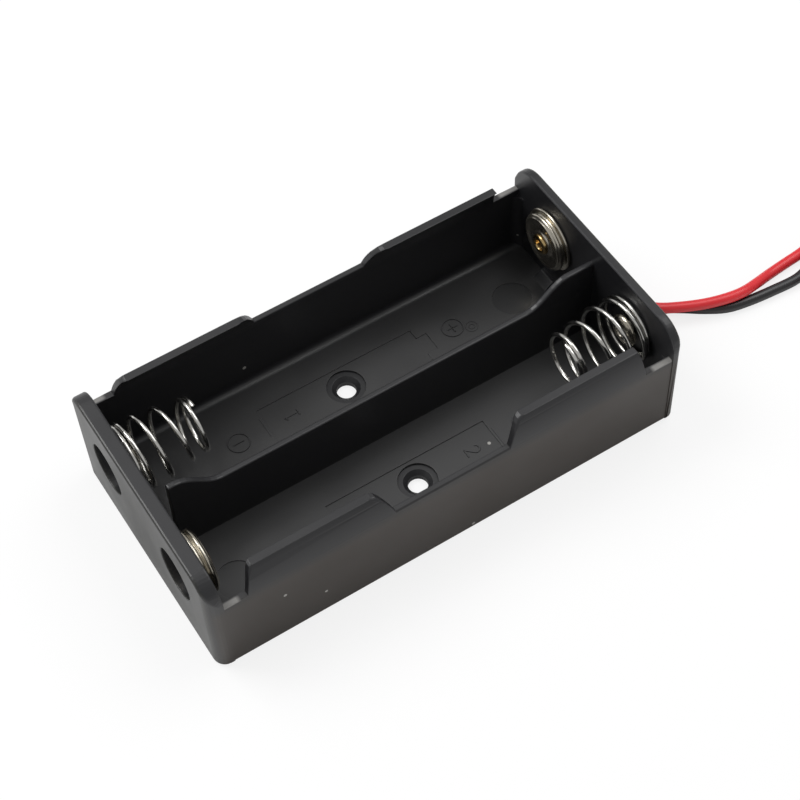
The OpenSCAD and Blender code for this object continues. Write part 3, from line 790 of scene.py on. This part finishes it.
def make_spring(name, x, y, towards):
    """Coned spring whose open turns would close up if its tip were pressed, built at rest."""
    place = axis_matrix(x, y, towards)
    count = round(ALL_TURNS * RINGS_PER_TURN)
    turns = [ALL_TURNS * i / count for i in range(count + 1)]
    mesh = bmesh.new()
    add_tube(mesh, [place @ (wire_place(t) * MM) for t in turns], WIRE_D / 2 * MM, WIRE_SIDES)
    spring = to_object(name + "_wire", mesh, sharp_angle=60)
    spring.data.materials.append(WIRE)
    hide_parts(name)
    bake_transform(spring)
    return spring


# ---------- contacts ----------
BUTTON_R = (button_high.y - button_low.y) / MM / 2
BUTTON_H = (button_high.x - button_low.x) / MM
BUTTON_RIM_R = 4.75
BUTTON_SHEET_T = 0.3
BUTTON_SIDES = 96
HOLE_R = 1.25
EYELET_SIDES = 64
EYELET_BORE_R = 0.9
EYELET_SHANK_R = 1.2
TAIL_ROLL_R = 2.0
TAIL_T = 0.25
SPRING_HEAD_R = 2.6
SPRING_HEAD_H = 1.1
BUTTON_HEAD_R = 1.7
BUTTON_HEAD_H = 0.55
SOLDER_SIDES = 40
SOLDER_MIDDLE_R = 0.02
SOLDER_CLIMB = 0.08
SOLDER_LUMP = 0.12
SOLDER_LUMP_SCALE = 900


def button_profile():
    """Half section of a button contact: flange, waist, front rim, rings and boss."""
    front = BUTTON_H
    back = BUTTON_H - BUTTON_SHEET_T
    outer = arc_points((BUTTON_R - 0.3, 0.3), 0.3, -90, 90, 8)
    outer += [(BUTTON_R - 0.62, 0.62), (4.38, 0.78), (4.36, 0.9)]
    outer += arc_points((BUTTON_RIM_R - 0.34, 1.3), 0.34, -60, 60, 6)
    outer += arc_points((BUTTON_RIM_R - 0.66, front - 0.26), 0.26, 20, 100, 5)
    outer += [(3.8, front - 0.06), (3.6, front - 0.18), (3.3, front - 0.27)]
    outer += [(2.9, front - 0.34), (2.4, front - 0.36), (2.2, front - 0.32)]
    outer += [(2.05, front - 0.14), (1.95, front - 0.04), (1.8, front)]
    outer += [(HOLE_R, front)]
    inner = [(HOLE_R, back), (1.75, back), (2.2, front - 0.75),
             (3.6, front - 0.62), (4.1, front - 0.5), (4.15, 1.2), (4.0, 0.9), (4.0, 0.0)]
    return outer + inner


def make_button(name, x, y, towards):
    """A pressed button contact."""
    mesh = bmesh.new()
    add_lathe(mesh, button_profile(), axis_matrix(x, y, towards), BUTTON_SIDES)
    button = to_object(name + "_disc", mesh, sharp_angle=50)
    return finish_piece(button, SHEET, replaced=[name])


def eyelet_profile(head_r, head_h, grip):
    """Half section of an eyelet: rolled tail, shank, domed head and a rounded bore."""
    bore = EYELET_BORE_R
    mouth = bore + 0.22
    roll = TAIL_T / 2
    foot = [(bore, -grip - TAIL_T + 0.08), (bore + 0.12, -grip - TAIL_T)]
    tail = arc_points((TAIL_ROLL_R - roll, -grip - roll), roll, -90, 90, 6)
    shank = [(EYELET_SHANK_R, -grip), (EYELET_SHANK_R, 0), (head_r - 0.12, 0)]
    angles = [math.radians(9 * k) for k in range(11)]
    dome = [(mouth + (head_r - mouth) * math.cos(a), 0.1 + (head_h - 0.1) * math.sin(a))
            for a in angles]
    lip = [(bore + 0.08, head_h - 0.05), (bore, head_h - 0.2)]
    return foot + tail + shank + dome + lip


def head_seat(name, towards, head_h):
    """X of the underside of an eyelet's head and of the face its tail is rolled on."""
    low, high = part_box(name)
    if towards > 0:
        return high.x - head_h * MM, low.x + TAIL_T * MM
    return low.x + head_h * MM, high.x - TAIL_T * MM


def make_eyelet(name, y, towards, head_r, head_h, material):
    """An eyelet whose head lies on a contact and whose tail is rolled in a pocket."""
    seat_x, web_x = head_seat(name, towards, head_h)
    grip = abs(web_x - seat_x) / MM
    mesh = bmesh.new()
    add_lathe(mesh, eyelet_profile(head_r, head_h, grip), axis_matrix(seat_x, y, towards),
              EYELET_SIDES)
    eyelet = to_object(name + "_ring", mesh, sharp_angle=50)
    return finish_piece(eyelet, material, replaced=[name])


def spring_eyelet(name, y, towards):
    """The nickel eyelet that holds a spring's tail."""
    make_eyelet(name, y, towards, SPRING_HEAD_R, SPRING_HEAD_H, SHEET)


def button_eyelet(name, y, towards):
    """The brass eyelet that holds a button."""
    make_eyelet(name, y, towards, BUTTON_HEAD_R, BUTTON_HEAD_H, BRASS)


def make_solder(name, y):
    """A bead of solder with an uneven skin, over a rolled tail."""
    low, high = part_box(name)
    height = (high.x - low.x) / MM
    top_r = LEAD_D / MM / 2 + SOLDER_CLIMB
    foot_r = (high.y - low.y) / MM / 2
    angles = [math.radians(15 * k) for k in range(1, 7)]
    profile = [(SOLDER_MIDDLE_R, 0.0), (foot_r, 0.0)]
    profile += [(top_r + (foot_r - top_r) * math.cos(a), height * math.sin(a)) for a in angles]
    profile += [(SOLDER_MIDDLE_R, height)]
    mesh = bmesh.new()
    add_lathe(mesh, profile, axis_matrix(low.x, y, 1), SOLDER_SIDES)
    centre = Vector((low.x, y, AXIS_Z))
    for v in mesh.verts:
        spoke = v.co - centre
        lump = noise.noise(v.co * SOLDER_LUMP_SCALE + Vector((y / MM, 3, 0)))
        v.co += Vector((0, spoke.y, spoke.z)) * SOLDER_LUMP * lump
    bead = to_object(name + "_bead", mesh, sharp_angle=60)
    return finish_piece(bead, SOLDER, replaced=[name])


# ---------- pieces shown as they were packed ----------
def dress_node(name, material, rounding):
    """A solid shown as it was packed, with its material and slightly rounded edges."""
    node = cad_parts[name]
    node.data.materials.clear()
    node.data.materials.append(material)
    weld = node.modifiers.new("weld", "WELD")
    weld.merge_threshold = WELD_GAP
    bevel = node.modifiers.new("rounding", "BEVEL")
    bevel.limit_method = "ANGLE"
    bevel.angle_limit = math.radians(35)
    bevel.width = rounding
    bevel.segments = 2


def series_link():
    """The strip that joins a spring to a button across the closed end."""
    dress_node("series_link", SHEET, 0.06 * MM)


def solder_tag(name):
    """A tag under a rolled tail, for the solder."""
    dress_node(name, SHEET, 0.04 * MM)


def lead_tie():
    """The nylon tie round both coils."""
    dress_node("lead_tie", NYLON, 0.1 * MM)


# ---------- curves ----------
def smooth_point(points, i, t):
    """A point between two others on a smooth curve through all of them."""
    a = points[max(i - 1, 0)]
    b = points[i]
    c = points[i + 1]
    d = points[min(i + 2, len(points) - 1)]
    return 0.5 * (2 * b + (c - a) * t + (2 * a - 5 * b + 4 * c - d) * t * t
                  + (3 * b - a - 3 * c + d) * t * t * t)


def smoothed(points, parts):
    line = [smooth_point(points, i, k / parts)
            for i in range(len(points) - 1) for k in range(parts)]
    return line + [points[-1]]


def line_length(points):
    return sum((b - a).length for a, b in zip(points, points[1:]))


def round_cord(name, points, diameter):
    """A round cord along the points."""
    data = bpy.data.curves.new(name, "CURVE")
    data.dimensions = "3D"
    data.bevel_depth = diameter / 2
    data.bevel_resolution = 5
    data.use_fill_caps = True
    spline = data.splines.new("POLY")
    spline.points.add(len(points) - 1)
    for place, p in zip(spline.points, points):
        place.co = (*p, 1)
    spline.use_smooth = True
    obj = bpy.data.objects.new(name, data)
    scene.collection.objects.link(obj)
    return obj


# ---------- leads ----------
LEAD_L = 0.145
COIL_PITCH = LEAD_D + 0.05 * MM
OUTER_TURN_R = COIL_OUTER_R - LEAD_D / 2
INNER_TURN_R = OUTER_TURN_R - COIL_PITCH
INNER_FACE_R = INNER_TURN_R - LEAD_D / 2
POINTS_PER_TURN = 60
ROUTE_PARTS = 4
CROSS_OVER_START = 0.7
TURN_IN_L = 2.2 * MM
STRANDS = 6
STRAND_STEPS = 20
STRAND_TWIST = 0.7
STRAND_R = 0.17 * MM
STRAND_CIRCLE_R = 0.27 * MM
STRAND_SIDES = 8
CORE_STEPS = 4
CORE_R = 0.2 * MM
STRIPPED_INSIDE_L = 1.0 * MM
TIP_RISE = 0.2

BLACK_ROUTE = [
    (38.5, -10, 11.8), (39.6, -10, 11.8), (40.8, -9.8, 11.1), (41.5, -9.2, 9.7),
    (41.8, -8.2, 8), (42.1, -7, 6.1), (42.6, -5.8, 4.1), (43.5, -4.7, 2.3), (45, -3.8, 1.2),
    (47, -3.4, 0.9), (49.2, -4, 0.9), (51.4, -5.4, 0.9), (54, -7.3, 0.9), (57, -9, 0.9),
    (60.5, -9.8, 0.9), (65, -10.3, 0.9), (69.5, -10.5, 0.9), (73.2, -9.6, 1.1),
    (76.6, -8.5, 1.25),
]
RED_ROUTE = [
    (38.5, 10, 11.8), (39.6, 10, 11.8), (40.7, 9.7, 11.1), (41.3, 8.9, 9.7),
    (41.6, 7.7, 8.2), (41.85, 6.2, 6.7), (42.2, 4.2, 5.3), (42.8, 1.8, 4.3), (43.7, -0.6, 3.6),
    (45.1, -2.7, 3.2), (47.2, -4.4, 2.8), (50.1, -6, 2.7), (53.6, -7.5, 2.6), (57, -8.5, 2.6),
    (60, -8.8, 2.4), (62.9, -8.3, 1.8), (66.3, -7.5, 1), (70, -7.1, 0.9), (73, -7, 1.2),
    (75.5, -7, 2.3), (78, -7, 3), (79.2, -7, 3),
]


def coil_radius(turn):
    """The first turn lies outside and moves in at its end, beside itself."""
    moved = eased((turn - CROSS_OVER_START) / (1 - CROSS_OVER_START))
    return OUTER_TURN_R + (INNER_TURN_R - OUTER_TURN_R) * moved


def coil_point(angle, r, z):
    return Vector((COIL_CENTRE.x + r * math.cos(angle), COIL_CENTRE.y + r * math.sin(angle), z))


def lead_line(route, z):
    """The whole line of a lead: its route, the coil, and a last stretch that turns in."""
    points = smoothed([Vector(p) * MM for p in route], ROUTE_PARTS)
    to_centre = COIL_CENTRE.xy - points[-1].xy
    heading = (math.atan2(to_centre.y, to_centre.x)
               + math.asin(OUTER_TURN_R / to_centre.length))
    start_angle = heading + math.pi / 2
    turn = 0
    done = line_length(points)
    while True:
        share = within_one((done - LEAD_L + TURN_IN_L) / TURN_IN_L)
        r = coil_radius(turn) + (INNER_FACE_R - INNER_TURN_R) * share ** 2
        p = coil_point(start_angle - 2 * math.pi * turn, r, z)
        left = LEAD_L - done
        step = p - points[-1]
        if step.length >= left:
            points.append(points[-1] + step * left / step.length)
            return points
        points.append(p)
        done += step.length
        turn += 1 / POINTS_PER_TURN


def make_strands(name, start, end):
    """A stripped wire end: tinned strands twisted round one another."""
    whole = end - start
    along = whole.normalized()
    side = along.orthogonal().normalized()
    up = along.cross(side)
    mesh = bmesh.new()
    for k in range(STRANDS):
        points = []
        for i in range(STRAND_STEPS + 1):
            share = i / STRAND_STEPS
            angle = 2 * math.pi * (k / STRANDS + STRAND_TWIST * share)
            spoke = math.cos(angle) * side + math.sin(angle) * up
            points.append(start + whole * share + STRAND_CIRCLE_R * spoke)
        add_tube(mesh, points, STRAND_R, STRAND_SIDES)
    core = [start + whole * i / CORE_STEPS for i in range(CORE_STEPS + 1)]
    add_tube(mesh, core, CORE_R, STRAND_SIDES)
    return to_object(name, mesh, sharp_angle=60)


def make_lead(name, route, z, material, end_node, parts):
    """A lead with its stripped end: out of its pocket, along the floor and into the coil."""
    line = lead_line(route, z)
    lead = round_cord(name + "_cord", line, LEAD_D)
    finish_piece(lead, material, replaced=parts)
    low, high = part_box(end_node)
    flat = (low + high) / 2 - line[-1]
    tip = line[-1] + Vector((2 * flat.x, 2 * flat.y, 0))
    tip.z = low.z + (high.z - low.z) * TIP_RISE
    inside = line[-1] - (tip - line[-1]).normalized() * STRIPPED_INSIDE_L
    strands = make_strands(name + "_strands", inside, tip)
    finish_piece(strands, SOLDER, replaced=[end_node])
    return lead


def red_lead():
    make_lead("red", RED_ROUTE, UPPER_Z, RED, "red_tinned_end",
              ["red_lead", "red_lead_coil"])


def black_lead():
    make_lead("black", BLACK_ROUTE, LOWER_Z, BLACK, "black_tinned_end",
              ["black_lead", "black_lead_coil"])


# ---------- floor and light ----------
FLOOR_REACH = 1.5
FLOOR_WHITE = 0.9
FLOOR_GLOW_SHARE = 0.8
ROOM_LIGHT = 0.5
ROOM_SEEN = 1.0
AIM = (0, 0, 0.01)


def pale_floor():
    """A plain white ground that keeps a faint shadow and blends with the background."""
    mesh = bmesh.new()
    bmesh.ops.create_grid(mesh, x_segments=1, y_segments=1, size=FLOOR_REACH)
    floor = to_object("ground", mesh)
    material, tree, shader = new_material("ground_white")
    set_inputs(tree, shader, {"Base Color": (FLOOR_WHITE, FLOOR_WHITE, FLOOR_WHITE, 1),
                              "Roughness": 0.9, "Specular IOR Level": 0.1})
    seen = tree.nodes.new("ShaderNodeLightPath").outputs["Is Camera Ray"]
    glow = add_node(tree, "ShaderNodeEmission", {"Color": (1, 1, 1, 1), "Strength": 1.0})
    share = math_node(tree, "MULTIPLY", seen, FLOOR_GLOW_SHARE)
    mixed = add_node(tree, "ShaderNodeMixShader", {0: share})
    tree.links.new(shader.outputs[0], mixed.inputs[1])
    tree.links.new(glow.outputs[0], mixed.inputs[2])
    tree.links.new(mixed.outputs[0], tree.nodes["Material Output"].inputs["Surface"])
    floor.data.materials.append(material)


def studio_world():
    """Soft even light all round, seen as plain white."""
    world = bpy.data.worlds.new("studio")
    scene.world = world
    world.use_nodes = True
    tree = world.node_tree
    seen = tree.nodes.new("ShaderNodeLightPath").outputs["Is Camera Ray"]
    strength = range_node(tree, seen, 0.0, 1.0, ROOM_LIGHT, ROOM_SEEN)
    set_inputs(tree, tree.nodes["Background"], {"Color": (1, 1, 1, 1), "Strength": strength})


def soft_light(name, place, size, power):
    """A square soft box that looks at the middle of the tray."""
    data = bpy.data.lights.new(name, "AREA")
    data.shape = "RECTANGLE"
    data.size = size
    data.size_y = size
    data.energy = power
    light = bpy.data.objects.new(name, data)
    scene.collection.objects.link(light)
    light.location = place
    towards = Vector(AIM) - Vector(place)
    light.rotation_euler = towards.to_track_quat("-Z", "Y").to_euler()


# ---------- the whole object ----------
make_camera()
red_lead()
black_lead()
lead_tie()
tray_shell()
floor_marks()
make_spring("near_spring", LEAD_FACE_X, -BAY_Y, -1)
make_spring("far_spring", LINK_SEAT_X, BAY_Y, 1)
spring_eyelet("near_spring_eyelet", -BAY_Y, -1)
spring_eyelet("far_spring_eyelet", BAY_Y, 1)
make_button("far_button", LEAD_FACE_X, BAY_Y, -1)
make_button("near_button", LINK_SEAT_X, -BAY_Y, 1)
button_eyelet("near_button_eyelet", -BAY_Y, 1)
button_eyelet("far_button_eyelet", BAY_Y, -1)
series_link()
solder_tag("positive_tag")
solder_tag("negative_tag")
make_solder("positive_solder", BAY_Y)
make_solder("negative_solder", -BAY_Y)

pale_floor()
studio_world()
soft_light("key", (-0.22, 0.30, 0.50), size=0.30, power=2.2)
soft_light("fill", (0.28, 0.02, 0.50), size=0.35, power=1.1)
scene.view_settings.view_transform = "Standard"
